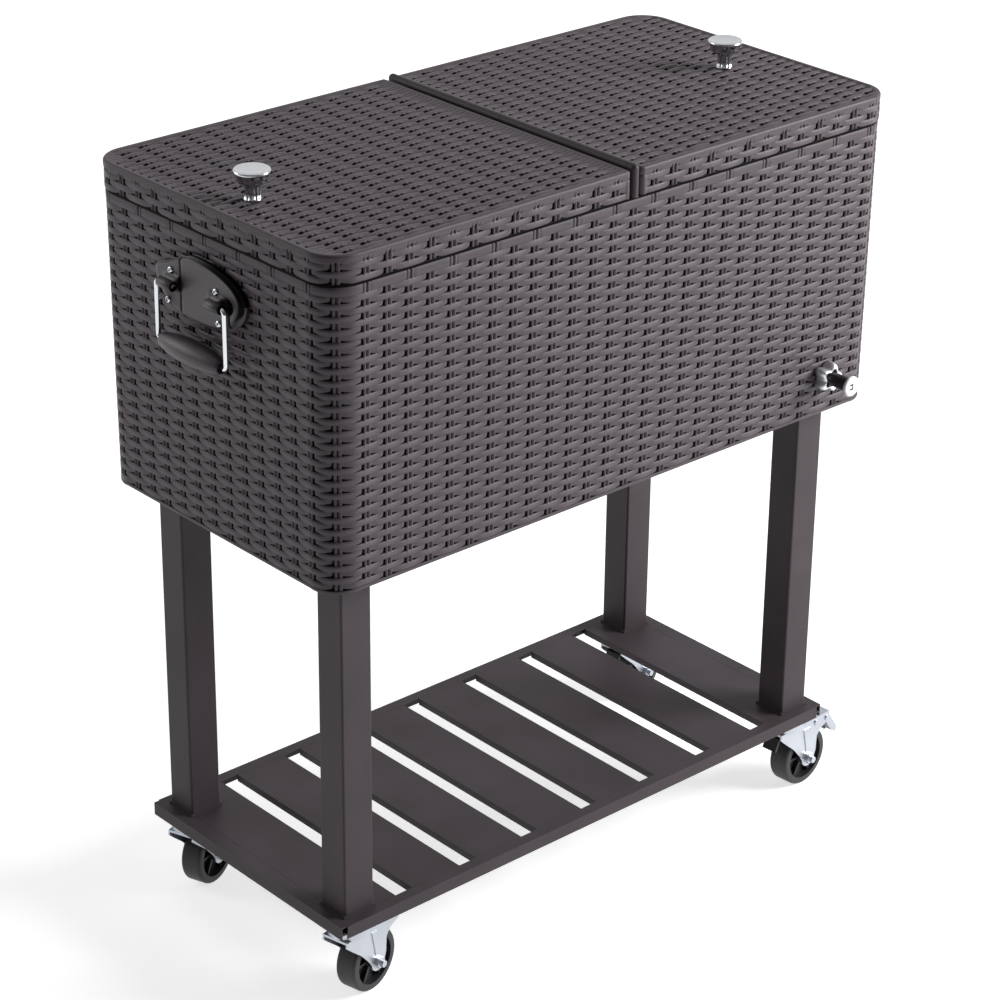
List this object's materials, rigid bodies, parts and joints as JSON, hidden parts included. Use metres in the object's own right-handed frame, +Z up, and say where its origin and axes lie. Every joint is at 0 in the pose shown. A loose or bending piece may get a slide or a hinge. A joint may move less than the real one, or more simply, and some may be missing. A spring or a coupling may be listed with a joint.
{
  "type": "rolling patio cooler",
  "caption": "Insulated wicker-look cooler tub with paired lids on a centre hinge bar, end handles and a drain, on square legs with a slatted shelf and swivel casters.",
  "frame": {"origin": "on the floor, under the middle of the box that holds the whole part", "axes": "+X along the tub to its right end, +Y to its back (the drain is on the front, -Y), +Z up"},
  "size_m": [0.8602, 0.4388, 0.9275],
  "materials": {
    "wicker_resin": "satin moulded resin with a woven relief, dark espresso",
    "painted_steel": "satin dark brown-grey powder coat",
    "dark_plastic": "satin moulded plastic, near black brown",
    "white_plastic": "smooth white food grade plastic",
    "foam": "rigid closed cell foam",
    "chrome": "bright chrome plate",
    "zinc": "bright zinc plated pressed steel",
    "seal_rubber": "soft grey sealing rubber",
    "wheel_black": "satin black moulded wheel",
    "black_steel": "black oxide spring steel"
  },
  "bodies": {
    "tub_and_trolley": {"base_panel": "dark_plastic", "caster_stems": "zinc", "centre_beam": "white_plastic", "drain_collar": "chrome", "drain_nut": "white_plastic", "drain_pipe": "dark_plastic", "drain_washer": "seal_rubber", "handle_screws": "chrome", "hinge_pin": "zinc", "hinge_post_screws": "zinc", "hinge_posts": "painted_steel", "insulation": "foam", "left_handle_plate": "dark_plastic", "leg_front_left": "painted_steel", "leg_front_right": "painted_steel", "leg_rear_left": "painted_steel", "leg_rear_right": "painted_steel", "leg_screws": "zinc", "liner": "white_plastic", "outer_shell": "wicker_resin", "right_handle_plate": "dark_plastic", "shelf_frame": "painted_steel", "shelf_slats": "painted_steel"},
    "left_lid": {"left_knob": "chrome", "left_knob_screw": "zinc", "left_lid_barrel": "painted_steel", "left_lid_foam": "foam", "left_lid_plate": "white_plastic", "left_lid_seal": "seal_rubber", "left_lid_shell": "wicker_resin"},
    "right_lid": {"right_knob": "chrome", "right_knob_screw": "zinc", "right_lid_barrel": "painted_steel", "right_lid_foam": "foam", "right_lid_plate": "white_plastic", "right_lid_seal": "seal_rubber", "right_lid_shell": "wicker_resin"},
    "left_handle": {"left_bail": "chrome", "left_grip": "dark_plastic"},
    "right_handle": {"right_bail": "chrome", "right_grip": "dark_plastic"},
    "drain_cap_body": {"drain_cap": "white_plastic"},
    "caster_front_left": {"fork_front_left": "zinc", "axle_front_left": "zinc"},
    "wheel_front_left_body": {"wheel_front_left": "wheel_black"},
    "caster_front_right": {"fork_front_right": "zinc", "axle_front_right": "zinc", "brake_rivets_front_right": "zinc", "brake_blade_front_right": "black_steel"},
    "wheel_front_right_body": {"wheel_front_right": "wheel_black"},
    "pedal_front_right": {"brake_pedal_front_right": "zinc"},
    "caster_rear_left": {"fork_rear_left": "zinc", "axle_rear_left": "zinc"},
    "wheel_rear_left_body": {"wheel_rear_left": "wheel_black"},
    "caster_rear_right": {"fork_rear_right": "zinc", "axle_rear_right": "zinc", "brake_rivets_rear_right": "zinc", "brake_blade_rear_right": "black_steel"},
    "wheel_rear_right_body": {"wheel_rear_right": "wheel_black"},
    "pedal_rear_right": {"brake_pedal_rear_right": "zinc"}
  },
  "joints": [
    {"name": "left_lid_hinge", "type": "hinge", "parent": "tub_and_trolley", "child": "left_lid", "pos_m": [0.006, 0.0209, 0.895], "axis": [0, 1, 0], "range_deg": [0, 78]},
    {"name": "right_lid_hinge", "type": "hinge", "parent": "tub_and_trolley", "child": "right_lid", "pos_m": [0.006, 0.0209, 0.895], "axis": [0, -1, 0], "range_deg": [0, 78]},
    {"name": "left_handle_swing", "type": "hinge", "parent": "tub_and_trolley", "child": "left_handle", "pos_m": [-0.4165, 0.0259, 0.803], "axis": [0, 1, 0], "range_deg": [0, 95]},
    {"name": "right_handle_swing", "type": "hinge", "parent": "tub_and_trolley", "child": "right_handle", "pos_m": [0.4165, 0.0259, 0.803], "axis": [0, -1, 0], "range_deg": [0, 95]},
    {"name": "drain_cap_turn", "type": "hinge", "parent": "tub_and_trolley", "child": "drain_cap_body", "pos_m": [0.3135, -0.2154, 0.578], "axis": [0, -1, 0], "range_deg": [0, 720]},
    {"name": "swivel_front_left", "type": "hinge", "parent": "tub_and_trolley", "child": "caster_front_left", "pos_m": [-0.341, -0.1211, 0.092], "axis": [0, 0, 1], "continuous": true},
    {"name": "wheel_front_left_roll", "type": "hinge", "parent": "caster_front_left", "child": "wheel_front_left_body", "pos_m": [-0.31274, -0.11458, 0.0375], "axis": [-0.225, 0.9744, 0], "continuous": true},
    {"name": "swivel_front_right", "type": "hinge", "parent": "tub_and_trolley", "child": "caster_front_right", "pos_m": [0.341, -0.1211, 0.092], "axis": [0, 0, 1], "continuous": true},
    {"name": "wheel_front_right_roll", "type": "hinge", "parent": "caster_front_right", "child": "wheel_front_right_body", "pos_m": [0.36993, -0.11908, 0.0375], "axis": [-0.0698, 0.9976, 0], "continuous": true},
    {"name": "brake_front_right_press", "type": "hinge", "parent": "caster_front_right", "child": "pedal_front_right", "pos_m": [0.40385, -0.11671, 0.08], "axis": [-0.0698, 0.9976, 0], "range_deg": [0, 10]},
    {"name": "swivel_rear_left", "type": "hinge", "parent": "tub_and_trolley", "child": "caster_rear_left", "pos_m": [-0.341, 0.1629, 0.092], "axis": [0, 0, 1], "continuous": true},
    {"name": "wheel_rear_left_roll", "type": "hinge", "parent": "caster_rear_left", "child": "wheel_rear_left_body", "pos_m": [-0.31375, 0.17282, 0.0375], "axis": [-0.342, 0.9397, 0], "continuous": true},
    {"name": "swivel_rear_right", "type": "hinge", "parent": "tub_and_trolley", "child": "caster_rear_right", "pos_m": [0.341, 0.1629, 0.092], "axis": [0, 0, 1], "continuous": true},
    {"name": "wheel_rear_right_roll", "type": "hinge", "parent": "caster_rear_right", "child": "wheel_rear_right_body", "pos_m": [0.36956, 0.16794, 0.0375], "axis": [-0.1736, 0.9848, 0], "continuous": true},
    {"name": "brake_rear_right_press", "type": "hinge", "parent": "caster_rear_right", "child": "pedal_rear_right", "pos_m": [0.40304, 0.17384, 0.08], "axis": [-0.1736, 0.9848, 0], "range_deg": [0, 10]}
  ]
}
